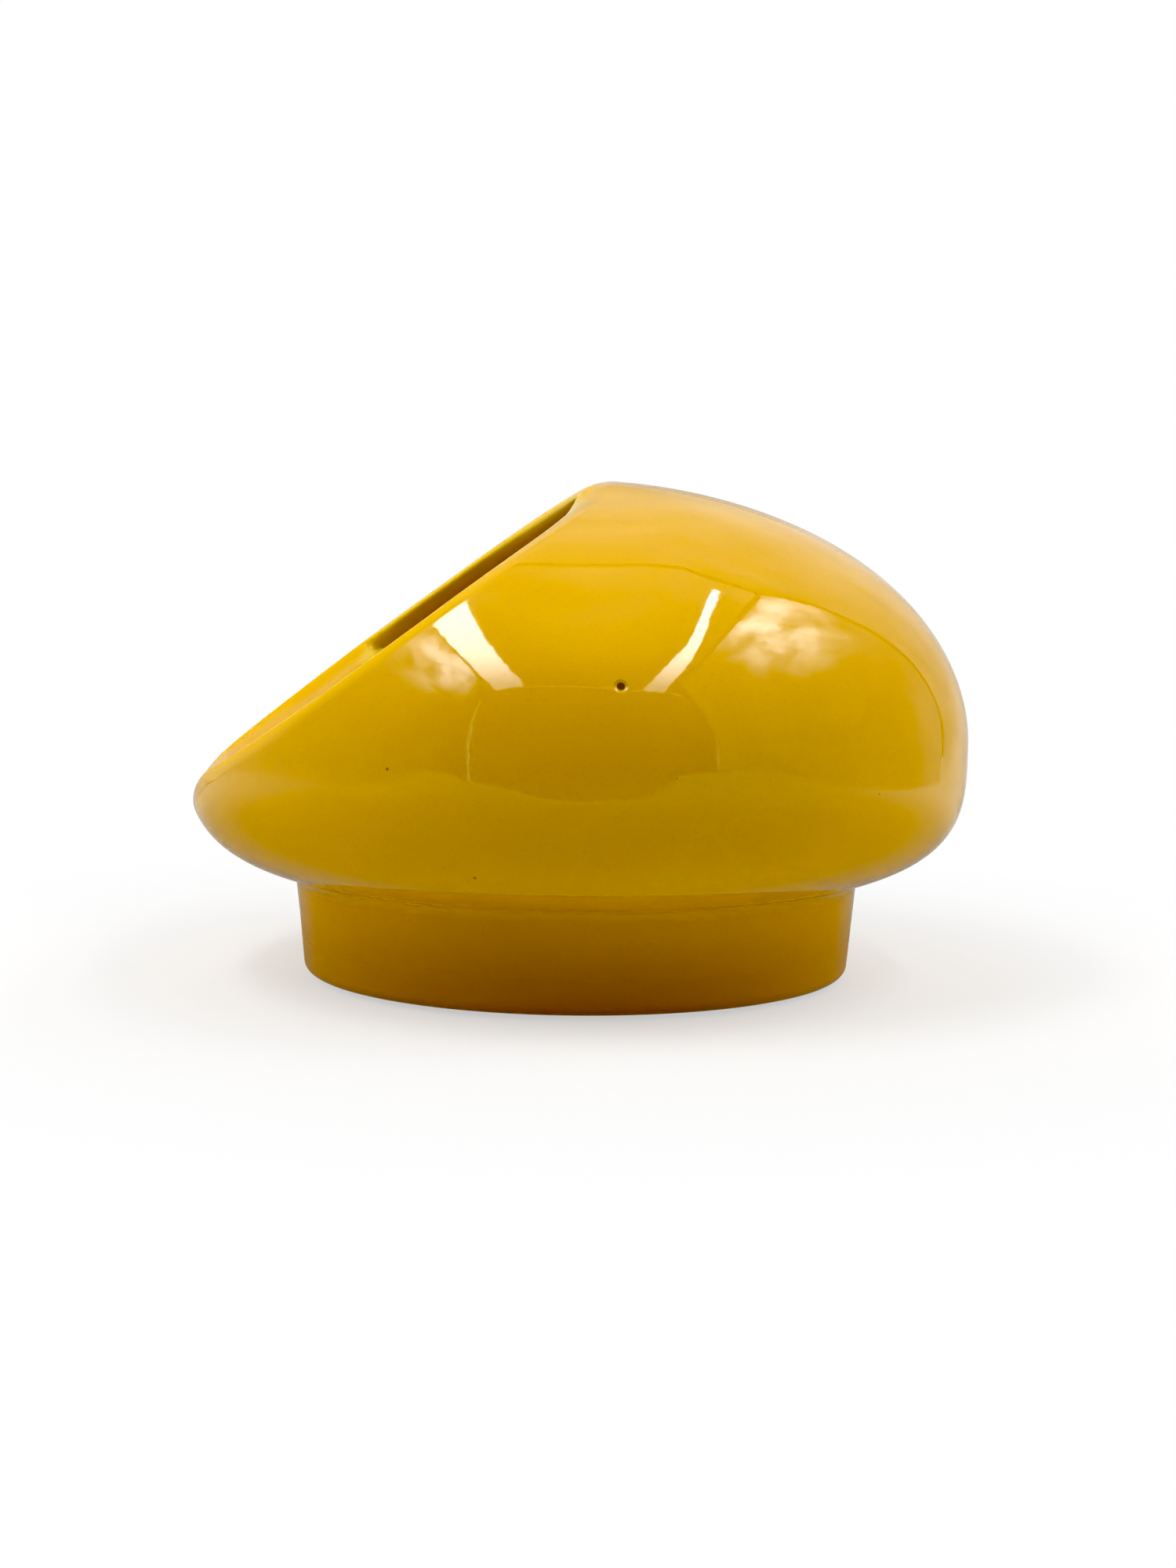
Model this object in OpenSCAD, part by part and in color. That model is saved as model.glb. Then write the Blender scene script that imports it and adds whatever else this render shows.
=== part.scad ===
// Slant-mouth ceramic bowl: a squashed ball on a short tapered foot, cut by one
// slanting plane that opens a large mouth towards -X. Millimetres, +Z up.
// The origin is the centre of the foot, on the surface that the bowl stands on.

/* [Body] */
// Radius of the body at its widest
body_r = 100; // [90:1:110]
// Height of the widest level above the surface it stands on
equator_z = 60.5; // [56:0.5:64]
// Height of the dome above the widest level
dome_h = 65.5; // [60:0.5:70]
// Depth of the full belly curve below the widest level
belly_h = 39.5; // [37:0.5:42]
// Squareness of the belly curve, where 2 is an ellipse
belly_power = 3.5; // [2.5:0.1:4.5]
// Thickness of the ceramic wall
wall = 6; // [4:0.5:8]

/* [Mouth] */
// Slope of the mouth, in degrees above the horizontal
mouth_tilt = 36.7; // [33:0.1:40]
// Height at which the mouth's plane crosses the vertical axis
mouth_z = 122.8; // [116:0.2:124]
// Depth of the whole rim, square to the mouth
rim_depth = 11; // [9:0.5:14]
// Depth of the rest's upper face below the mouth's plane
rest_drop = 4.5; // [2:0.5:6]
// Distance from the vertical axis to the inner edge of the rest
rest_edge = 55; // [45:1:70]

/* [Foot] */
// Radius of the foot where it meets the belly
foot_top_r = 72.5; // [68:0.5:76]
// Radius of the foot at its standing edge
foot_base_r = 70.2; // [66:0.2:72]
// Height of the joint between the foot and the body
foot_joint_z = 23; // [20:0.5:24]
// Radius of the rounded standing edge
foot_edge_r = 2.8; // [1:0.2:4]
// Thickness of the floor in the foot
base_t = 6; // [4:0.5:8]
// Height of the recess under the floor
base_recess = 2; // [1:0.5:3.5]

/* [Hidden] */
$fn = 96;
glaze = "#EBB000";
curve_steps = 22;
edge_steps = 6;
// Larger than the whole bowl, for the blocks that cut it
reach = 3 * body_r;

// Depth of the belly curve at radius r, as a share of its full depth
function belly_drop(r, big_r) = pow(1 - pow(r / big_r, belly_power), 1 / belly_power);
// Height of the underside of a belly curve at radius r
function belly_z(r, big_r, deep) = equator_z - deep * belly_drop(r, big_r);
// A point of the belly curve in the direction a below the widest level
function belly_point(a, big_r, deep) =
    let (k = pow(pow(cos(a), belly_power) + pow(sin(a), belly_power), -1 / belly_power))
    [big_r * cos(a) * k, equator_z - deep * sin(a) * k];
// The belly curve, from radius r up to the widest level
function belly(r, big_r, deep) =
    let (last = atan2(belly_drop(r, big_r), r / big_r))
    [for (i = [0 : curve_steps]) belly_point(last * (1 - i / curve_steps), big_r, deep)];
// The dome, from just above the widest level to the top
function dome(big_r, high) =
    [for (i = [1 : curve_steps])
        let (a = 90 * i / curve_steps) [big_r * cos(a), equator_z + high * sin(a)]];

// Where the foot's side meets the belly
foot_top_z = belly_z(foot_top_r, body_r, belly_h);
// Radius of the foot's side at height z
function foot_r(z) = foot_base_r + (foot_top_r - foot_base_r) * z / foot_top_z;
// Radius of the well inside the foot at height z
function well_r(z) = foot_r(z) - wall;

inner_r = body_r - wall;
inner_belly_h = belly_h - wall;
well_top_r = well_r(foot_top_z + wall);
base_top_z = base_recess + base_t;
// Length along the mouth's slope from the vertical axis to the edge of the rest
rest_slope = rest_edge / cos(mouth_tilt);

// The solid body without its foot
module body_form() {
    rotate_extrude()
        polygon(concat(
            [[0, foot_joint_z], [foot_r(foot_joint_z), foot_joint_z]],
            belly(foot_top_r, body_r, belly_h),
            dome(body_r, dome_h)
        ));
}

// The space inside the body, down to the foot joint and a little below it
module cavity() {
    rotate_extrude()
        polygon(concat(
            [[0, foot_joint_z - 1], [well_r(foot_joint_z - 1), foot_joint_z - 1]],
            belly(well_top_r, inner_r, inner_belly_h),
            dome(inner_r, dome_h - wall)
        ));
}

// Puts its children in the mouth's own frame: its plane is z = 0, and +X climbs the slope
module in_mouth_frame() {
    translate([0, 0, mouth_z]) rotate([0, -mouth_tilt, 0]) children();
}

// Everything more than depth below the mouth's plane
module below_mouth(depth) {
    in_mouth_frame()
        translate([-reach, -reach, -depth - 2 * reach]) cube([2 * reach, 2 * reach, 2 * reach]);
}

// Everything up the slope from the inner edge of the rest
module past_rest() {
    in_mouth_frame()
        translate([-rest_slope, -reach, -reach]) cube([2 * reach, 2 * reach, 2 * reach]);
}

// Everything above the rest's upper face
module above_rest() {
    in_mouth_frame()
        translate([-reach, -reach, -rest_drop]) cube([2 * reach, 2 * reach, reach]);
}

module body_shell() {
    color(glaze) difference() {
        intersection() {
            body_form();
            below_mouth(rim_depth);
        }
        cavity();
    }
}

module mouth_rim() {
    color(glaze) difference() {
        intersection() {
            body_form();
            below_mouth(0);
        }
        below_mouth(rim_depth);
        intersection() {
            cavity();
            union() {
                past_rest();
                above_rest();
            }
        }
    }
}

module foot_ring() {
    edge = [for (i = [0 : edge_steps])
        let (a = -90 + 90 * i / edge_steps)
        [foot_base_r - foot_edge_r + foot_edge_r * cos(a), foot_edge_r + foot_edge_r * sin(a)]];
    color(glaze) rotate_extrude()
        polygon(concat(
            [[well_r(foot_joint_z), foot_joint_z], [well_r(0), 0]],
            edge,
            [[foot_r(foot_joint_z), foot_joint_z]]
        ));
}

module base_disc() {
    color(glaze) rotate_extrude()
        polygon([
            [0, base_recess],
            [well_r(base_recess), base_recess],
            [well_r(base_top_z), base_top_z],
            [0, base_top_z]
        ]);
}

body_shell();
mouth_rim();
foot_ring();
base_disc();
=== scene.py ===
"""Looks of the slant-mouth ceramic bowl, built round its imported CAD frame."""

import math

import bpy
import numpy as np
from mathutils import Matrix, Vector

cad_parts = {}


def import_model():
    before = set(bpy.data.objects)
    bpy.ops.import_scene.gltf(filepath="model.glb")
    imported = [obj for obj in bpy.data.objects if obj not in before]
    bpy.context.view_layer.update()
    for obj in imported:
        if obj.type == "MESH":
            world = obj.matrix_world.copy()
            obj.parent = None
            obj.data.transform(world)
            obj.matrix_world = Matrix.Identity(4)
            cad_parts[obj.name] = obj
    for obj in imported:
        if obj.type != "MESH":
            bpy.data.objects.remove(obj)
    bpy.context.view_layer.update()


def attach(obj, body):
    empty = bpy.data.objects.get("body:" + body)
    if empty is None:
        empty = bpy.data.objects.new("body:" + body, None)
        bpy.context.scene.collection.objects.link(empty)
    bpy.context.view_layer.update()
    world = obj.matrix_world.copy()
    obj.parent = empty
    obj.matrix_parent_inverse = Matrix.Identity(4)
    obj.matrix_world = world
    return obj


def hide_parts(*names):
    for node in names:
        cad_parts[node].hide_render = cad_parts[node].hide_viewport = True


MM = 0.001

# All lengths are in metres, in the CAD's frame: +Z up, and the mouth faces -X.

# The bowl's driving dimensions: the same values as the CAD source.
BODY_R = 100 * MM
EQUATOR_Z = 60.5 * MM
DOME_H = 65.5 * MM
BELLY_H = 39.5 * MM
BELLY_POWER = 3.5
WALL = 6 * MM
MOUTH_TILT = math.radians(36.7)
MOUTH_Z = 122.8 * MM
RIM_DEPTH = 11 * MM
REST_DROP = 4.5 * MM
REST_EDGE = 55 * MM
FOOT_TOP_R = 72.5 * MM
FOOT_BASE_R = 70.2 * MM
FOOT_JOINT_Z = 23 * MM
FOOT_EDGE_R = 2.8 * MM
BASE_T = 6 * MM
BASE_RECESS = 2 * MM

# The camera, at the bowl's -Y side. Its lens and sensor are in mm and its angles in radians.
# VIEW_TURN is the turn of its heading from +Y, towards which the studio is turned as well.
CAMERA_SENSOR = 36
CAMERA_LENS = 63.4
CAMERA_DISTANCE = 0.710
CAMERA_SIDE = 3.5 * MM
CAMERA_HEIGHT = 123.1 * MM
CAMERA_PITCH = 0.1056
CAMERA_YAW = 0.001
CAMERA_ROLL = 0.011
VIEW_TURN = math.radians(3.2)
BLACK_POINT = 0.055

# The light tent that the glaze mirrors, open at the front, laid out in the camera's heading.
# Its right and back walls lean in towards the top, and its left wall leans out.
TENT_LEFT = -0.285
TENT_RIGHT = 0.38
TENT_FRONT = -0.54
TENT_BACK = 0.21
TENT_TOP = 0.605
TOP_FRONT = -0.60
LEAN_IN = 50 * MM
LEAN_OUT = 15 * MM
SEAM = 14 * MM
RIGHT_WALL_SETBACK = 50 * MM
RIGHT_POST_GAP = 26 * MM
POST_WIDTH = 7 * MM
POST_HEIGHT = 0.45
BEAM_DEPTH = 8 * MM
CLOTH_GLOW = 0.62
FRAME_GLOW = 2.0

# The bright clouds on the side walls: (centre, radius).
LEFT_CLOUDS = ((TENT_LEFT, -0.25, 0.56), 0.29)
RIGHT_CLOUDS = ((TENT_RIGHT - LEAN_IN, -0.04, 0.52), 0.26)
CLOUD_GLOW = 7.0

# The two light tubes, as outlines just under the tent's top; they are dim at the front.
LEFT_TUBE = ((-0.282, -0.59), (-0.182, -0.59), (-0.182, 0.0), (-0.290, 0.0))
RIGHT_TUBE = ((0.222, -0.59), (0.311, -0.59), (0.242, 0.09), (0.228, 0.09))
TUBE_DROP = 5 * MM
TUBE_BRIGHT_Y = -0.15
TUBE_GLOW = 11.6

# The weak side lamps: (place, watts).
LEFT_FILL = ((-0.24, 0.03, 0.04), 0.14)
RIGHT_FILL = ((0.27, 0.03, 0.12), 0.17)
FILL_SIZE = 0.2
FILL_AIM = (0, 0, 50 * MM)
ROOM_GREY = 0.03

# The floor that the camera sees, and two cards by it that stand for the white table: one gives off
# the table's diffuse light, the other is what the glaze mirrors.
FLOOR_REACH = 6.0
FLOOR_Z = -1 * MM
TABLE_SIDES = (-0.9, 0.9)
TABLE_FRONT = TENT_FRONT - 15 * MM
TABLE_BACK = 2 * TENT_BACK
LIT_TABLE_Z = -1.2 * MM
MIRRORED_TABLE_Z = -0.6 * MM
TABLE_DIM_SPOT = (0, -0.15, 0)
BACKDROP_R = 5.5

# Finer shape, which only the looks have. The nose is the mouth's low end.
# The rim's outside: how far in from the sharp edge its rounding ends.
RIM_SETBACK = 3.0 * MM
NOSE_SETBACK = 9.5 * MM
TOP_SETBACK = 5.0 * MM
# The lip's thickening all round, its extra at the nose, and its thinning at the top.
LIP_BEAD = 1.6 * MM
NOSE_BEAD = 5.0 * MM
TOP_THINNING = 0.5 * MM
# The lip's inside rounding, and the longest slope from the lip down to the rest.
LIP_INNER_R = 4.6 * MM
TOP_LIP_R = 7.5 * MM
REST_SLOPE = 10.0 * MM
# The rest: its edge, its corners, and how much it is dished and falls towards its edge. Its lip
# turns from steep to gentle where the rest is between these two widths.
REST_EDGE_R = 2.5 * MM
REST_CORNER_R = 10 * MM
REST_DISH = 0.8 * MM
REST_DISH_WIDTH = 50 * MM
REST_FALL = 0.25 * MM
REST_WIDTHS = (3 * MM, 17 * MM)
# The notch across the nose, square to the mouth: its depth, half width, reach to each side, and its
# line, which is an arc in the mouth's plane.
NOSE_DIP = 4.4 * MM
NOSE_DIP_HALF = 4.4 * MM
NOSE_DIP_SIDES = 36 * MM
NOSE_CREST = -111.5 * MM
NOSE_TURN_R = 75 * MM
# How far the near lip sinks close to the mouth's top, and how unevenly the glaze lies everywhere.
NEAR_DIP = 1.6 * MM
SAG = 0.25 * MM
# Creases and fillets, and the radii where the belly's level rings give way to tilted ones.
CREASE_R = 3.0 * MM
WELL_TOP_Z = 30 * MM
WELL_EDGE_R = 4.0 * MM
FOOT_INNER_R = 1.2 * MM
FLOOR_FILLET_R = 6.0 * MM
FLOOR_HUB_R = 0.05 * MM
BELLY_TURN_R = 90 * MM
INNER_TURN_R = 84 * MM

# The glaze, as linear colours, with a lighter colour painted inside the bowl as painted light, and
# its few flaws: (centre, radius, darkness). The first is the pinhole, which also has relief.
GLAZE_BRIGHT = (0.78, 0.440, 0.014)
GLAZE_DEEP = (0.745, 0.415, 0.012)
# Darker and browner: used in a fine grain, and down the foot, which grows darker towards the table.
GLAZE_DARKER_BROWN = (0.60, 0.305, 0.008)
GLAZE_THIN = (0.82, 0.50, 0.05)
# Painted light: a lighter colour on the bowl's inside, in place of light that reaches in there.
INSIDE_PAINTED_LIGHT = (0.91, 0.70, 0.12)
FLAW_BROWN = (0.10, 0.045, 0.01)
BARE_CLAY = (0.62, 0.47, 0.33)
GLAZE_FLAWS = (((4.7 * MM, -95.4 * MM, 80.0 * MM), 1.15 * MM, 0.9),
               ((-47.5 * MM, -88.0 * MM, 60.3 * MM), 0.45 * MM, 0.7),
               ((-27.6 * MM, -89.8 * MM, 35.7 * MM), 0.5 * MM, 0.6),
               ((17.3 * MM, -98.5 * MM, 59.6 * MM), 0.35 * MM, 0.4),
               ((66.8 * MM, -74.3 * MM, 53.7 * MM), 0.35 * MM, 0.4))

# Every ring has this many points, at these turns from the way that the mouth's slope climbs. UPHILL
# and DOWNHILL are 1 at the mouth's top and at its nose, and fade to 0 beside them.
AROUND = 320
TURN = np.linspace(0, 2 * math.pi, AROUND, endpoint=False)
UPHILL = np.clip(np.cos(TURN), 0, 1) ** 12
DOWNHILL = np.clip(-np.cos(TURN), 0, 1) ** 12
UP = np.array([0.0, 0.0, 1.0])
ACROSS = np.array([0.0, 1.0, 0.0])
SLOPE = np.array([math.cos(MOUTH_TILT), 0.0, math.sin(MOUTH_TILT)])
MOUTH_NORMAL = np.array([-math.sin(MOUTH_TILT), 0.0, math.cos(MOUTH_TILT)])
# Where the mouth's middle is, and a distance that is past everything.
MOUTH_MIDDLE_X = -47.5 * MM
FAR_OUT = 3 * BODY_R


# ---------------------------------------------------------------- the form

def form_gap(points, inset):
    """Below 0 inside the squashed ball that lies inset inside the body, above 0 outside it."""
    big_r = BODY_R - inset
    radius = np.hypot(points[..., 0], points[..., 1])
    rise = points[..., 2] - EQUATOR_Z
    dome = (radius / big_r) ** 2 + (np.maximum(rise, 0) / (DOME_H - inset)) ** 2
    drop = np.maximum(-rise, 0) / (BELLY_H - inset)
    belly = (radius / big_r) ** BELLY_POWER + drop ** BELLY_POWER
    return np.where(rise >= 0, dome, belly) - 1


def form_normal(points, inset):
    """The outward unit normal of that squashed ball at points on it."""
    step = 1e-6
    slopes = [form_gap(points + step * axis, inset) - form_gap(points - step * axis, inset)
              for axis in np.eye(3)]
    return unit(np.stack(slopes, axis=-1))


def unit(vectors):
    """Vectors scaled to length 1."""
    return vectors / np.linalg.norm(vectors, axis=-1, keepdims=True)


def onto_form(origins, directions, inset):
    """Where rays from inside the squashed ball meet it."""
    near = np.zeros(np.broadcast_shapes(origins.shape, directions.shape)[:-1])
    far = np.full_like(near, FAR_OUT)
    for _ in range(48):
        middle = (near + far) / 2
        inside = form_gap(origins + middle[..., None] * directions, inset) < 0
        near = np.where(inside, middle, near)
        far = np.where(inside, far, middle)
    return origins + near[..., None] * directions


def square_to(vectors, axis):
    """Vectors without what they have along the unit vectors axis."""
    return vectors - np.sum(vectors * axis, axis=-1, keepdims=True) * axis


def mouth_centre(depth):
    """The middle of the mouth, moved depth below its plane."""
    on_plane = np.array([MOUTH_MIDDLE_X, 0, MOUTH_Z + MOUTH_MIDDLE_X * math.tan(MOUTH_TILT)])
    return on_plane - np.multiply.outer(depth, MOUTH_NORMAL)


def mouth_rays():
    """The unit directions out from the mouth's middle, in its plane."""
    return np.multiply.outer(np.cos(TURN), SLOPE) + np.multiply.outer(np.sin(TURN), ACROSS)


def mouth_slice(depth, inset):
    """The ring where the plane depth below the mouth cuts the form."""
    centre = np.broadcast_to(mouth_centre(depth), (AROUND, 3))
    return onto_form(centre, mouth_rays(), inset)


def wall_r(depth):
    """Along each ray, from the mouth's middle to the inner wall.

    The wall thickens into a bead at the lip, but thins at the mouth's top end.
    """
    depth = np.broadcast_to(depth, AROUND)
    radius = np.linalg.norm(mouth_slice(depth, WALL) - mouth_centre(depth), axis=1)
    bead = TOP_THINNING * UPHILL - LIP_BEAD * (1 - UPHILL) - NOSE_BEAD * DOWNHILL
    return radius + bead * (1 - depth / RIM_DEPTH) ** 2


def rest_width(depth):
    """Along each ray, how far the rest reaches in from the inner wall at that depth."""
    wall = wall_r(depth)
    to_edge = (REST_EDGE + MOUTH_MIDDLE_X) / math.cos(MOUTH_TILT)
    edge = to_edge / np.maximum(-np.cos(TURN), 1e-3)
    return wall - round_min(wall, edge, REST_CORNER_R)


def inner_ring(depth, inward):
    """A ring at depth below the mouth, inward from the inner wall along each ray."""
    radius = wall_r(depth) - inward
    return mouth_centre(np.broadcast_to(depth, AROUND)) + radius[:, None] * mouth_rays()


def round_min(a, b, soft):
    """The smaller of a and b, with the corner between them rounded over soft."""
    overlap = np.maximum(soft - np.abs(a - b), 0) / soft
    return np.minimum(a, b) - overlap ** 2 * soft / 4


def ring_across(ring, normal):
    """In a plane ring: the unit vectors that point out of it, square to its edge."""
    along = unit(np.roll(ring, -1, axis=0) - np.roll(ring, 1, axis=0))
    return np.cross(along, normal)


def circle(radius, z):
    """A level ring about the bowl's axis."""
    return np.stack([radius * np.cos(TURN), radius * np.sin(TURN), np.full(AROUND, z)], axis=1)


def between(first, last, steps):
    """Evenly spaced rings from the first to the last."""
    share = np.linspace(0, 1, steps + 1)[:, None, None]
    return first * (1 - share) + last * share


def bend(start, start_way, end, end_way, steps):
    """Rings that turn from start to end as near circular arcs.

    start_way and end_way are the unit directions that leave each end towards the sharp corner.
    """
    turn = np.arccos(np.clip(np.sum(start_way * -end_way, axis=-1), -1, 1))
    chord = np.linalg.norm(end - start, axis=-1)
    reach = chord * (2 / 3) * np.tan(turn / 4) / np.maximum(np.sin(turn / 2), 1e-4)
    a = start + reach[..., None] * start_way
    b = end + reach[..., None] * end_way
    t = np.linspace(0, 1, steps + 1)[:, None, None]
    return ((1 - t) ** 3 * start + 3 * (1 - t) ** 2 * t * a
            + 3 * (1 - t) * t ** 2 * b + t ** 3 * end)


def fan(low_z, depth, inset, steps):
    """Rings over the form, from the level plane low_z up to the plane depth below the mouth.

    The planes between them all turn about the line where those two meet.
    """
    top = MOUTH_Z - depth / math.cos(MOUTH_TILT)
    hinge = np.array([(low_z - top) / math.tan(MOUTH_TILT), 0, low_z])
    rings = []
    for share in np.linspace(0, 1, steps + 1):
        tilt = share * MOUTH_TILT
        way = np.array([math.cos(tilt), 0, math.sin(tilt)])
        middle_x = MOUTH_MIDDLE_X * share ** 2
        centre = hinge + way * (middle_x - hinge[0]) / way[0]
        rays = np.multiply.outer(np.cos(TURN), way) + np.multiply.outer(np.sin(TURN), ACROSS)
        rings.append(onto_form(np.broadcast_to(centre, (AROUND, 3)), rays, inset))
    return np.array(rings)


def belly_z(radius, inset):
    """Height of the underside of the form at that radius."""
    share = radius / (BODY_R - inset)
    return EQUATOR_Z - (BELLY_H - inset) * (1 - share ** BELLY_POWER) ** (1 / BELLY_POWER)


def belly_rings(first_r, last_r, inset, steps):
    """Level rings over the underside of the form, evenly spaced in radius."""
    return np.array([circle(radius, belly_z(radius, inset))
                     for radius in np.linspace(first_r, last_r, steps + 1)])


def belly_way(radius, inset):
    """The unit directions down the underside of the form, towards the axis."""
    lower = radius - 0.05 * MM
    return unit(circle(lower, belly_z(lower, inset)) - circle(radius, belly_z(radius, inset)))


def foot_r(z):
    """Radius of the foot's side at height z."""
    return FOOT_BASE_R + (FOOT_TOP_R - FOOT_BASE_R) * z / belly_z(FOOT_TOP_R, 0)


def well_r(z):
    """Radius of the well inside the foot at height z."""
    return foot_r(z) - WALL


# ---------------------------------------------------------------- mesh making

def strip_normals(strip):
    """Smooth normals of a grid of rings, worked out from the grid itself."""
    around = np.roll(strip, -1, axis=1) - np.roll(strip, 1, axis=1)
    along = np.gradient(strip, axis=0, edge_order=2 if len(strip) > 2 else 1)
    return unit(np.cross(around, along))


def ease(value, start, end):
    """A smooth step from 0 at start to 1 at end."""
    share = np.clip((value - start) / (end - start), 0, 1)
    return share ** 2 * (3 - 2 * share)


def unevenness(points):
    """How far each point lies in from the true form, as glaze runs; 0 near the table.

    It is a sum of slow waves, with their lengths in mm.
    """
    x, y, z = (points[..., i] / MM for i in range(3))
    swell = (np.sin(x / 9 + z / 14 + 1.1) * np.sin(y / 11 - z / 8 + 0.4)
             + np.sin(x / 15 - y / 13 + z / 10 + 2.3) + 0.6 * np.sin(z / 6 + x / 21 + y / 17))
    most = 2.6
    return SAG * np.clip((most - swell) / (2 * most), 0, 1) * np.clip((z - 3) / 12, 0, 1)


def near_dip(points):
    """How far each point sinks on the near lip, close to the mouth's top; the region is in mm."""
    x, y, z = (points[..., i] / MM for i in range(3))
    return NEAR_DIP * ease(x, -35, 0) * ease(x, 25, 0) * ease(y, -12, -34) * ease(z, 80, 100)


def nose_notch(points):
    """How far each point sinks, square to the mouth, in the notch across the nose."""
    x, y, z = (points[..., i] for i in range(3))
    slope_way = points @ SLOPE - MOUTH_Z * SLOPE[2]
    from_crest = np.hypot(slope_way - NOSE_CREST - NOSE_TURN_R, y) - NOSE_TURN_R
    across = np.exp(-(from_crest / NOSE_DIP_HALF) ** 2)
    along = np.exp(-(y / NOSE_DIP_SIDES) ** 2)
    return NOSE_DIP * across * along * ease(x, -60 * MM, -80 * MM) * ease(z, 42 * MM, 54 * MM)


def settle(points):
    """Points of the true form, moved to where the clay and glaze ended up."""
    inward = unit(np.array([0, 0, 0.55 * BODY_R]) - points)
    return (points + unevenness(points)[..., None] * inward - near_dip(points)[..., None] * UP
            - nose_notch(points)[..., None] * MOUTH_NORMAL)


def loft(name, strips):
    """One closed ring-shaped mesh from strips of rings.

    Each strip starts where the last one ended, and the last ends where the first starts. Inside a
    strip the surface is smooth; where strips meet at an angle there is an edge.
    """
    strips = [settle(np.array(strip)) for strip in strips]
    rings = [ring for strip in strips for ring in strip[:-1]]
    count = len(rings)
    verts = np.concatenate(rings)
    faces = []
    corner_normals = []
    first = 0
    column = np.arange(AROUND)
    beside = (column + 1) % AROUND
    for strip in strips:
        normals = strip_normals(strip)
        for i in range(len(strip) - 1):
            low = (first + i) * AROUND
            high = ((first + i + 1) % count) * AROUND
            quad = np.stack([low + column, low + beside, high + beside, high + column], axis=1)
            faces.append(quad)
            corner_normals.append(np.stack([normals[i][column], normals[i][beside],
                                            normals[i + 1][beside], normals[i + 1][column]],
                                           axis=1))
        first += len(strip) - 1
    return make_mesh(name, verts, np.concatenate(faces), np.concatenate(corner_normals))


def make_mesh(name, verts, faces, corner_normals):
    """An object from points, quads and the normal at each corner of each quad."""
    mesh = bpy.data.meshes.new(name)
    mesh.from_pydata(verts.tolist(), [], faces.tolist())
    mesh.polygons.foreach_set("use_smooth", [True] * len(mesh.polygons))
    mesh.normals_split_custom_set(corner_normals.reshape(-1, 3).tolist())
    mesh.update()
    piece = bpy.data.objects.new(name, mesh)
    bpy.context.scene.collection.objects.link(piece)
    return piece


# ---------------------------------------------------------------- the pieces

def rim_outside():
    """The rounding from the body's side to the top of the lip, and the depth where it starts."""
    edge = mouth_slice(0.0, 0.0)
    edge_normal = form_normal(edge, 0.0)
    corner = np.arccos(np.clip(edge_normal @ MOUTH_NORMAL, -1, 1))
    setback = (RIM_SETBACK + (NOSE_SETBACK - RIM_SETBACK) * DOWNHILL
               + (TOP_SETBACK - RIM_SETBACK) * UPHILL)
    side_depth = setback * np.sin(corner)
    side = mouth_slice(side_depth, 0.0)
    side_normal = form_normal(side, 0.0)
    edge_out = ring_across(edge, MOUTH_NORMAL)
    land_outer = edge - setback[:, None] * edge_out
    up_the_side = MOUTH_NORMAL - (side_normal @ MOUTH_NORMAL)[:, None] * side_normal
    side_up = unit(square_to(up_the_side, np.cross(MOUTH_NORMAL, edge_out)))
    return bend(side, side_up, land_outer, edge_out, 18), side_depth


def lip_inside(land_outer, width):
    """The rounding from the lip's top into the mouth, and how far in it ends.

    Where the mouth is open it turns steeply down in its first part and is then straight. Where the
    rest is wide it is one gentle slope down to the rest.
    """
    room = np.linalg.norm(land_outer - inner_ring(0.0, 0.0), axis=1)
    toward_top = np.clip(1.4 * np.cos(TURN), 0, 1) ** 2
    lip = np.minimum(LIP_INNER_R + (TOP_LIP_R - LIP_INNER_R) * toward_top, 0.85 * room)
    lip_drop = np.minimum(1.6 * lip, 0.9 * REST_DROP)
    low_end = REST_DROP - REST_FALL
    on_rest = ease(width, *REST_WIDTHS)
    slope = np.minimum(REST_SLOPE, 0.45 * width)
    turning_part = 0.6
    rings = []
    for share in np.linspace(0, 1, 25):
        angle = min(share / turning_part, 1) * math.pi / 2
        low = max(share - turning_part, 0) / (1 - turning_part)
        steep_in = lip * (math.sin(angle) - 1)
        steep_depth = lip_drop * (1 - math.cos(angle)) + (low_end - lip_drop) * low
        gentle_in = (lip + slope) * share - lip
        gentle_depth = low_end * (1 - math.cos(math.pi * share ** 0.7)) / 2
        rings.append(inner_ring(steep_depth * (1 - on_rest) + gentle_depth * on_rest,
                                steep_in * (1 - on_rest) + gentle_in * on_rest))
    return np.array(rings), slope * on_rest


def rest_and_wall(start_in, width):
    """The rest from where the lip's slope ends, its rounded edge, and the wall below it."""
    outer_depth = REST_DROP - REST_FALL
    inner_depth = REST_DROP + REST_FALL
    edge_r = np.minimum(REST_EDGE_R, 0.45 * width)
    dish = REST_DISH * np.clip(width / REST_DISH_WIDTH, 0, 1) ** 2
    rest = []
    for share in np.linspace(0, 1, 19):
        depth = outer_depth + (inner_depth - outer_depth) * share
        depth = depth + dish * (4 * share * (1 - share)) ** 2
        rest.append(inner_ring(depth, start_in + (width - edge_r - start_in) * share))
    edge_end = edge_r + REST_FALL
    edge = [rest[-1]]
    for angle in np.linspace(0, math.pi / 2, 11)[1:]:
        depth = inner_depth + edge_end * (1 - math.cos(angle))
        edge.append(inner_ring(depth, rest_width(depth) - edge_r * (1 - math.sin(angle))))
    wall = []
    for share in np.linspace(0, 1, 5):
        depth = (inner_depth + edge_end) * (1 - share) + RIM_DEPTH * share
        wall.append(inner_ring(depth, rest_width(depth)))
    return rest, edge, wall


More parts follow.
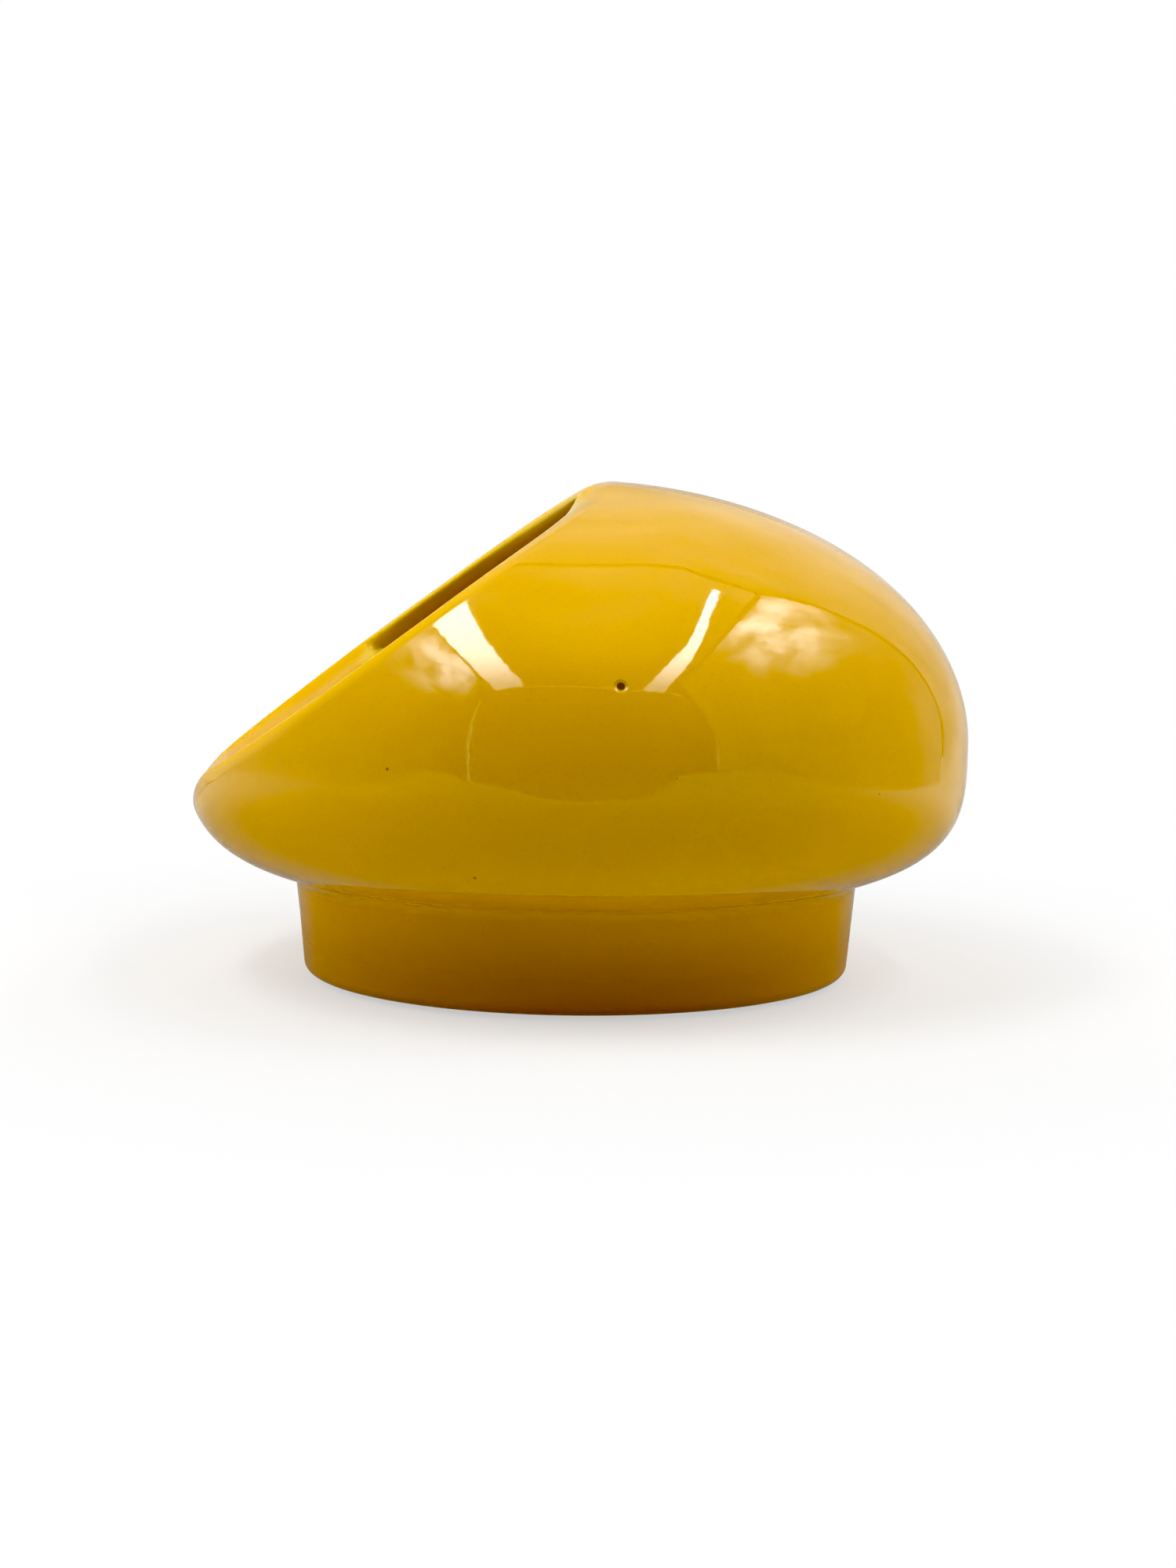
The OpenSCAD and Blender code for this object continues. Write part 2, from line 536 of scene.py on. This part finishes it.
def make_mouth_rim():
    """The rolled lip, and across its low end the sunken rest, with the opening beside it."""
    rim_round, side_depth = rim_outside()
    width = rest_width(REST_DROP)
    lip, rest_start = lip_inside(rim_round[-1], width)
    land = between(rim_round[-1], lip[0], 3)
    rest, rest_edge, wall = rest_and_wall(rest_start, width)
    underside = between(wall[-1], mouth_slice(RIM_DEPTH, 0.0), 6)
    band = [mouth_slice(RIM_DEPTH * (1 - share) + side_depth * share, 0.0)
            for share in np.linspace(0, 1, 9)]
    return loft("mouth_rim_glazed", [band, rim_round, land, lip, rest, rest_edge, wall, underside])


def make_body_shell():
    """The hollow squashed ball, with a small fillet in the crease over the foot."""
    foot_joint = circle(foot_r(FOOT_JOINT_Z), FOOT_JOINT_Z)
    well_joint = circle(well_r(FOOT_JOINT_Z), FOOT_JOINT_Z)
    straight_up = np.broadcast_to(UP, foot_joint.shape)

    crease_z = belly_z(FOOT_TOP_R, 0) - CREASE_R
    crease_low = circle(foot_r(crease_z), crease_z)
    neck = between(foot_joint, crease_low, 2)
    belly_r = FOOT_TOP_R + CREASE_R
    crease = bend(crease_low, straight_up, circle(belly_r, belly_z(belly_r, 0)),
                  belly_way(belly_r, 0), 8)
    outside = np.concatenate([belly_rings(belly_r, BELLY_TURN_R, 0, 14)[:-1],
                              fan(belly_z(BELLY_TURN_R, 0), RIM_DEPTH, 0.0, 88)])
    joint = between(outside[-1], mouth_slice(RIM_DEPTH, WALL), 2)

    well_top_r = well_r(WELL_TOP_Z)
    edge_r = well_top_r + WELL_EDGE_R
    inside = np.concatenate([belly_rings(edge_r, INNER_TURN_R, WALL, 12)[:-1],
                             fan(belly_z(INNER_TURN_R, WALL), RIM_DEPTH, WALL, 72)])[::-1]
    edge_low_z = belly_z(well_top_r, WALL) - WELL_EDGE_R
    edge_low = circle(well_r(edge_low_z), edge_low_z)
    well_edge = bend(circle(edge_r, belly_z(edge_r, WALL)), belly_way(edge_r, WALL), edge_low,
                     straight_up, 8)
    well = between(edge_low, well_joint, 2)
    bottom = between(well_joint, foot_joint, 2)
    return loft("body_shell_glazed",
                [neck, crease, outside, joint, inside, well_edge, well, bottom])


def revolve(name, profiles):
    """A closed ring-shaped piece, from outlines of (radius, height) turned about the axis."""
    return loft(name, [np.array([circle(r, z) for r, z in outline]) for outline in profiles])


def arc(centre, radius, start, end, steps=8):
    """(radius, height) points on an arc between two directions, in degrees."""
    angles = np.radians(np.linspace(start, end, steps + 1))
    return [(centre[0] + radius * math.cos(a), centre[1] + radius * math.sin(a)) for a in angles]


def straight(start, end, steps=4):
    """(radius, height) points on a straight line."""
    return [tuple(np.array(start) * (1 - share) + np.array(end) * share)
            for share in np.linspace(0, 1, steps + 1)]


def make_foot_ring():
    """The tapered foot: soft outer edge, flat standing ring and an eased inner edge."""
    standing = FOOT_BASE_R - FOOT_EDGE_R
    inner = well_r(0)
    low = arc((standing, FOOT_EDGE_R), FOOT_EDGE_R, -90, 0)
    side = straight(low[-1], (foot_r(FOOT_JOINT_Z), FOOT_JOINT_Z), 8)
    top = straight(side[-1], (well_r(FOOT_JOINT_Z), FOOT_JOINT_Z), 2)
    eased = arc((inner + FOOT_INNER_R, FOOT_INNER_R), FOOT_INNER_R, 180, 270)
    wall = straight(top[-1], eased[0], 10)
    flat = straight(eased[-1], low[0], 4)
    return revolve("foot_ring_glazed", [low, side, top, wall, eased, flat])


def make_base_disc():
    """The floor, which curves up into the foot's wall inside and is flat underneath.

    Like every lofted piece it is a ring, so a hole too fine to see is left on its axis.
    """
    top_z = BASE_RECESS + BASE_T
    rise_z = top_z + FLOOR_FILLET_R
    floor_r = well_r(rise_z) - FLOOR_FILLET_R
    floor = straight((FLOOR_HUB_R, top_z), (floor_r, top_z), 30)
    rise = arc((floor_r, rise_z), FLOOR_FILLET_R, -90, 0)
    side = straight(rise[-1], (well_r(BASE_RECESS), BASE_RECESS), 4)
    under = straight(side[-1], (FLOOR_HUB_R, BASE_RECESS), 30)
    core = straight(under[-1], floor[0], 2)
    outlines = (under, side, rise, floor, core)
    return revolve("base_disc_glazed", [outline[::-1] for outline in outlines])


# ---------------------------------------------------------------- materials

def node(tree, kind, **values):
    """A new node with its inputs and settings filled in."""
    made = tree.nodes.new(kind)
    for key, value in values.items():
        if key in made.inputs:
            made.inputs[key].default_value = value
        else:
            setattr(made, key, value)
    return made


def link(tree, source, target):
    """Join the first output of a node, or a given output, to an input."""
    tree.links.new(getattr(source, "outputs", [source])[0], target)


def maths(tree, operation, first, second=None, third=None):
    """A maths node; each term is a node, an output or a number."""
    made = node(tree, "ShaderNodeMath", operation=operation)
    for slot, term in zip(made.inputs, (first, second, third)):
        if term is None:
            continue
        if isinstance(term, (int, float)):
            slot.default_value = term
        else:
            link(tree, term, slot)
    return made


def fade(tree, value, start, end, low=0.0, high=1.0):
    """A smooth step of a value from low at start to high at end."""
    made = node(tree, "ShaderNodeMapRange", interpolation_type="SMOOTHSTEP")
    for slot, number in zip(made.inputs[1:5], (start, end, low, high)):
        slot.default_value = number
    link(tree, value, made.inputs[0])
    return made


def blend(tree, share, first, second):
    """A colour mixed from first to second, each a colour or a node."""
    made = node(tree, "ShaderNodeMix", data_type="RGBA")
    for slot, colour in ((made.inputs[6], first), (made.inputs[7], second)):
        if isinstance(colour, tuple):
            slot.default_value = (*colour, 1)
        else:
            tree.links.new(colour.outputs[2], slot)
    link(tree, share, made.inputs[0])
    return made


def places(tree):
    """The place of each point of a surface: whole, and as X, Y and Z."""
    where = tree.nodes.new("ShaderNodeTexCoord").outputs["Object"]
    split = tree.nodes.new("ShaderNodeSeparateXYZ")
    link(tree, where, split.inputs["Vector"])
    return where, split.outputs


def distance(tree, where, centre):
    """How far each point is from a centre."""
    gap = node(tree, "ShaderNodeVectorMath", operation="DISTANCE")
    gap.inputs[1].default_value = centre
    link(tree, where, gap.inputs[0])
    return gap.outputs["Value"]


def noise(tree, where, scale, detail, roughness):
    """Noise over the places of a surface; scale is in cells per metre."""
    made = node(tree, "ShaderNodeTexNoise", Scale=scale, Detail=detail, Roughness=roughness)
    link(tree, where, made.inputs["Vector"])
    return made


def relief(tree, height, depth, under=None, strength=None):
    """A bump of that depth, on top of the bump under it."""
    made = node(tree, "ShaderNodeBump", Strength=1.0, Distance=depth)
    link(tree, height, made.inputs["Height"])
    if under:
        link(tree, under, made.inputs["Normal"])
    if strength:
        link(tree, strength, made.inputs["Strength"])
    return made


def painted_light_inside(tree, where, split):
    """Where light is painted inside the bowl: 1 on its inside, 0 on its outside, on the foot and on
    the nose.
    """
    scaled = node(tree, "ShaderNodeMapping", vector_type="TEXTURE")
    scaled.inputs["Location"].default_value = (0, 0, EQUATOR_Z)
    scaled.inputs["Scale"].default_value = (BODY_R, BODY_R, DOME_H)
    link(tree, where, scaled.inputs["Vector"])
    from_middle = node(tree, "ShaderNodeVectorMath", operation="LENGTH")
    link(tree, scaled, from_middle.inputs[0])
    within = fade(tree, from_middle.outputs["Value"], 0.965, 0.945)
    over_foot = fade(tree, split["Z"], 30 * MM, 40 * MM)
    past_nose = fade(tree, split["X"], -60 * MM, -50 * MM)
    return maths(tree, "MULTIPLY", maths(tree, "MULTIPLY", within, over_foot), past_nose)


def thin_share(tree, where):
    """How thin the glaze is, which is most along the top of the lip."""
    over_mouth = node(tree, "ShaderNodeVectorMath", operation="DOT_PRODUCT")
    over_mouth.inputs[1].default_value = tuple(MOUTH_NORMAL)
    link(tree, where, over_mouth.inputs[0])
    plane = MOUTH_Z * math.cos(MOUTH_TILT)
    return fade(tree, over_mouth.outputs["Value"], plane - 3 * MM, plane - 0.3 * MM, 0.0, 0.6)


def glaze_material():
    """Opaque yellow glaze: deep gloss, faint waves, tiny dimples, thinned places, and a darker,
    browner colour down the foot and in fine grain.
    """
    material = bpy.data.materials.new("yellow_glaze")
    material.use_nodes = True
    tree = material.node_tree
    tree.nodes.clear()
    out = tree.nodes.new("ShaderNodeOutputMaterial")
    shader = node(tree, "ShaderNodeBsdfPrincipled", IOR=1.6)
    link(tree, shader, out.inputs["Surface"])
    where, split = places(tree)
    height = split["Z"]
    # Down the foot the colour grows darker and browner towards the table, and the glaze rougher.
    on_foot = fade(tree, height, 26 * MM, 6 * MM, 0.0, 0.8)
    thin = thin_share(tree, where)
    bare = fade(tree, height, 0.35 * MM, 0.1 * MM)

    broad = fade(tree, noise(tree, where, 14.0, 4.0, 0.5), 0.35, 0.65)
    colour = blend(tree, broad, GLAZE_DEEP, GLAZE_BRIGHT)
    grain = fade(tree, noise(tree, where, 1400.0, 2.0, 0.6), 0.55, 0.8, 0.0, 0.35)
    colour = blend(tree, grain, colour, GLAZE_DARKER_BROWN)
    colour = blend(tree, on_foot, colour, GLAZE_DARKER_BROWN)
    # Painted light: the lighter colour inside the bowl stands in for light that reaches in there.
    colour = blend(tree, painted_light_inside(tree, where, split), colour, INSIDE_PAINTED_LIGHT)
    colour = blend(tree, thin, colour, GLAZE_THIN)
    for centre, radius, darkness in GLAZE_FLAWS:
        spot = fade(tree, distance(tree, where, centre), radius, radius * 0.7, 0.0, darkness)
        colour = blend(tree, spot, colour, FLAW_BROWN)
    colour = blend(tree, bare, colour, BARE_CLAY)
    tree.links.new(colour.outputs[2], shader.inputs["Base Color"])

    # The waves and dimples die away where the glaze is thin.
    calm = maths(tree, "MULTIPLY_ADD", thin, -1.6, 1.0)
    waves = relief(tree, noise(tree, where, 45.0, 1.0, 0.4), 0.15 * MM, strength=calm)
    dimples = relief(tree, noise(tree, where, 260.0, 2.0, 0.5), 0.022 * MM, waves, calm)
    centre, radius, _ = GLAZE_FLAWS[0]
    level_round = fade(tree, distance(tree, where, centre), radius * 1.5, radius * 0.9, 1.0, 0.0)
    pinhole = relief(tree, level_round, 0.35 * MM, dimples)
    link(tree, pinhole, shader.inputs["Normal"])

    dull = maths(tree, "MULTIPLY_ADD", thin, 0.25, 0.05)
    dull = maths(tree, "MULTIPLY_ADD", on_foot, 0.3, dull)
    dull = maths(tree, "MULTIPLY_ADD", bare, 0.6, dull)
    link(tree, dull, shader.inputs["Roughness"])
    shine = fade(tree, height, 24 * MM, 31 * MM, 0.15, 0.5)
    shine = maths(tree, "MULTIPLY_ADD", thin, -0.83, shine)
    link(tree, shine, shader.inputs["Specular IOR Level"])
    return material


def plain_material(name, grey, roughness):
    """A grey material with little gloss."""
    material = bpy.data.materials.new(name)
    material.use_nodes = True
    shader = material.node_tree.nodes["Principled BSDF"]
    shader.inputs["Base Color"].default_value = (grey, grey, grey, 1)
    shader.inputs["Roughness"].default_value = roughness
    return material


def glow_material(name, strength=1.0):
    """A white material that only glows."""
    material = bpy.data.materials.new(name)
    material.use_nodes = True
    tree = material.node_tree
    tree.nodes.clear()
    out = tree.nodes.new("ShaderNodeOutputMaterial")
    glow = node(tree, "ShaderNodeEmission", Color=(1, 1, 1, 1), Strength=strength)
    link(tree, glow, out.inputs["Surface"])
    return material


# ---------------------------------------------------------------- the studio

def panel(name, corners, material, seen=False, lit=True, casts_shadow=False):
    """A flat stage card from its corners, in the camera's heading; seen or not by the camera."""
    turn = Matrix.Rotation(-VIEW_TURN, 3, "Z")
    mesh = bpy.data.meshes.new(name)
    mesh.from_pydata([turn @ Vector(corner) for corner in corners], [],
                     [tuple(range(len(corners)))])
    mesh.materials.append(material)
    card = bpy.data.objects.new(name, mesh)
    bpy.context.scene.collection.objects.link(card)
    card.visible_camera = seen
    card.visible_diffuse = lit
    card.visible_glossy = lit
    card.visible_shadow = casts_shadow
    return card


def level(low, high, z):
    """The corners of a level card, from two opposite ones."""
    return [(low[0], low[1], z), (high[0], low[1], z), (high[0], high[1], z), (low[0], high[1], z)]


def upright(left, right, low, high, y):
    """The corners of an upright card that faces the camera."""
    return [(left, y, low), (right, y, low), (right, y, high), (left, y, high)]


def floor_material():
    """White, with soft shadows near the bowl, that glows evenly away from it into the backdrop."""
    material = plain_material("floor_white", 0.86, 0.7)
    tree = material.node_tree
    where, _ = places(tree)
    away = fade(tree, distance(tree, where, (0, 0, 0)), 0.10, 0.26, 0.55, 1.0)
    glow = node(tree, "ShaderNodeEmission", Color=(1, 1, 1, 1), Strength=1.0)
    mix = tree.nodes.new("ShaderNodeMixShader")
    link(tree, away, mix.inputs[0])
    link(tree, tree.nodes["Principled BSDF"], mix.inputs[1])
    link(tree, glow, mix.inputs[2])
    link(tree, mix, tree.nodes["Material Output"].inputs["Surface"])
    return material


def mirrored_table_material():
    """A glow that is weakest in front of the bowl and grows with the distance from there."""
    material = glow_material("table_mirrored_white")
    tree = material.node_tree
    where, _ = places(tree)
    strength = fade(tree, distance(tree, where, TABLE_DIM_SPOT), 0.20, 0.50, 0.33, 0.80)
    link(tree, strength, tree.nodes["Emission"].inputs["Strength"])
    return material


def add_floor():
    """The pale floor that the camera sees, and the white table that lights the bowl."""
    corner = (-FLOOR_REACH, -FLOOR_REACH), (FLOOR_REACH, FLOOR_REACH)
    panel("floor", level(*corner, FLOOR_Z), floor_material(), seen=True, lit=False)
    corner = (TABLE_SIDES[0], TABLE_FRONT), (TABLE_SIDES[1], TABLE_BACK)
    table = panel("table", level(*corner, LIT_TABLE_Z), plain_material("table_white", 0.72, 0.6),
                  casts_shadow=True)
    table.visible_glossy = False
    mirrored = panel("table_mirrored", level(*corner, MIRRORED_TABLE_Z), mirrored_table_material())
    mirrored.visible_diffuse = False


def add_backdrop():
    """A white shell round everything, which only the camera sees."""
    bpy.ops.mesh.primitive_uv_sphere_add(segments=48, ring_count=24, radius=BACKDROP_R)
    shell = bpy.context.active_object
    shell.name = "backdrop"
    shell.data.materials.append(glow_material("backdrop_white"))
    shell.visible_diffuse = False
    shell.visible_glossy = False
    shell.visible_shadow = False


def cloth_glow(name, front_share, share, drift, clouds=None):
    """Uneven glowing cloth, at one share of its strength at the open front and another farther in.

    clouds is the centre and the radius of a patch of soft bright clouds.
    """
    material = glow_material(name)
    tree = material.node_tree
    where, split = places(tree)
    puffs = node(tree, "ShaderNodeTexNoise", noise_dimensions="4D", W=drift, Scale=9.0,
                 Detail=5.0, Roughness=0.55, Distortion=0.3)
    link(tree, where, puffs.inputs["Vector"])
    depth = fade(tree, split["Y"], TENT_FRONT, 0.0, front_share * CLOTH_GLOW, share * CLOTH_GLOW)
    glow = maths(tree, "MULTIPLY", depth, fade(tree, puffs, 0.3, 0.7, 0.7, 1.3))
    if clouds:
        centre, radius = clouds
        close = fade(tree, distance(tree, where, centre), radius, 0.05)
        bright = maths(tree, "MULTIPLY", close, fade(tree, puffs, 0.34, 0.66, 0.12, 1.0))
        glow = maths(tree, "MULTIPLY_ADD", bright, CLOUD_GLOW, glow)
    link(tree, glow, tree.nodes["Emission"].inputs["Strength"])
    return material


def add_tent():
    """White cloth walls with dark seams, cloudy at the sides; the front is open and dark."""
    left, right, front, back, top = TENT_LEFT, TENT_RIGHT, TENT_FRONT, TENT_BACK, TENT_TOP
    left_top, right_top, back_top = left - LEAN_OUT, right - LEAN_IN, back - LEAN_IN
    panel("tent_back", [(left, back, 0), (right - SEAM, back, 0),
                        (right_top - SEAM, back_top, top), (left, back_top, top)],
          cloth_glow("cloth_back", 0.1, 1.0, 3.0))
    panel("tent_top", level((left_top + SEAM, TOP_FRONT), (right_top - SEAM, back_top - SEAM), top),
          cloth_glow("cloth_top", 0.1, 1.0, 4.0))
    # The side walls' lower edges are off the table, not quite level.
    panel("tent_left", [(left, front, 20 * MM), (left, back, 37 * MM),
                        (left_top, back, top), (left_top, front, top)],
          cloth_glow("cloth_left", 0.1, 1.0, 1.3, LEFT_CLOUDS))
    right_front = front + RIGHT_WALL_SETBACK
    panel("tent_right", [(right, right_front, 20 * MM), (right, back, 8 * MM),
                         (right_top, back_top, top), (right_top, right_front, top)],
          cloth_glow("cloth_right", 0.9, 0.75, 7.1, RIGHT_CLOUDS))
    frame = glow_material("tent_frame", FRAME_GLOW)
    for x in (left, right + RIGHT_POST_GAP):
        panel("tent_post", upright(x, x + POST_WIDTH, 0, POST_HEIGHT, front), frame)
    panel("tent_beam", upright(left, right, top - BEAM_DEPTH, top, TOP_FRONT), frame)


def add_tubes():
    """Two long light tubes under the tent's top, dim at their front ends."""
    glow = glow_material("tube_white")
    tree = glow.node_tree
    _, split = places(tree)
    strength = fade(tree, split["Y"], TOP_FRONT, TUBE_BRIGHT_Y, 0.25 * TUBE_GLOW, 1.15 * TUBE_GLOW)
    link(tree, strength, tree.nodes["Emission"].inputs["Strength"])
    for name, outline in (("tube_left", LEFT_TUBE), ("tube_right", RIGHT_TUBE)):
        panel(name, [(x, y, TENT_TOP - TUBE_DROP) for x, y in outline], glow)


def add_fill(name, place, power):
    """A weak square lamp at one side, aimed at the bowl; the glaze doesn't mirror it."""
    lamp = bpy.data.lights.new(name, "AREA")
    lamp.size = FILL_SIZE
    lamp.energy = power
    made = bpy.data.objects.new(name, lamp)
    place = Matrix.Rotation(-VIEW_TURN, 3, "Z") @ Vector(place)
    made.location = place
    made.rotation_euler = (Vector(FILL_AIM) - place).to_track_quat("-Z", "Y").to_euler()
    made.visible_camera = False
    made.visible_glossy = False
    bpy.context.scene.collection.objects.link(made)


def add_dark_room():
    """What is round the tent, seen by the glaze through its open front."""
    world = bpy.data.worlds.new("dark_room")
    bpy.context.scene.world = world
    world.use_nodes = True
    background = world.node_tree.nodes["Background"]
    background.inputs["Color"].default_value = (ROOM_GREY, ROOM_GREY, ROOM_GREY, 1)


def set_tones():
    """Plain tones, with the black level that gives the photograph's deep shades."""
    view = bpy.context.scene.view_settings
    view.view_transform = "Standard"
    view.use_curve_mapping = True
    view.curve_mapping.black_level = (BLACK_POINT,) * 3
    view.curve_mapping.update()


# ---------------------------------------------------------------- the camera

def add_camera():
    """A long lens a little above the rim, looking down on the bowl's side."""
    data = bpy.data.cameras.new("camera")
    data.lens = CAMERA_LENS
    data.sensor_width = CAMERA_SENSOR
    camera = bpy.data.objects.new("camera", data)
    bpy.context.scene.collection.objects.link(camera)
    turn = Matrix.Rotation(-VIEW_TURN, 3, "Z")
    swing = Matrix.Rotation(CAMERA_YAW, 3, "Z")
    right = Vector((1, 0, 0))
    ahead = Vector((0, math.cos(CAMERA_PITCH), -math.sin(CAMERA_PITCH)))
    above = right.cross(ahead)
    rolled_right = math.cos(CAMERA_ROLL) * right + math.sin(CAMERA_ROLL) * above
    rolled_above = rolled_right.cross(ahead)
    axes = Matrix((rolled_right, rolled_above, -ahead)).transposed()
    facing = turn @ swing @ axes
    place = turn @ Vector((CAMERA_SIDE, -CAMERA_DISTANCE, CAMERA_HEIGHT))
    camera.matrix_world = Matrix.Translation(place) @ facing.to_4x4()
    bpy.context.scene.camera = camera


def main():
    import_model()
    set_tones()
    add_camera()
    add_floor()
    add_backdrop()
    add_tent()
    add_dark_room()
    add_tubes()
    add_fill("fill_left", *LEFT_FILL)
    add_fill("fill_right", *RIGHT_FILL)
    glaze = glaze_material()
    for build, replaced in ((make_body_shell, "body_shell"), (make_mouth_rim, "mouth_rim"),
                            (make_foot_ring, "foot_ring"), (make_base_disc, "base_disc")):
        piece = build()
        piece.data.materials.append(glaze)
        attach(piece, "root")
        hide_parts(replaced)


main()
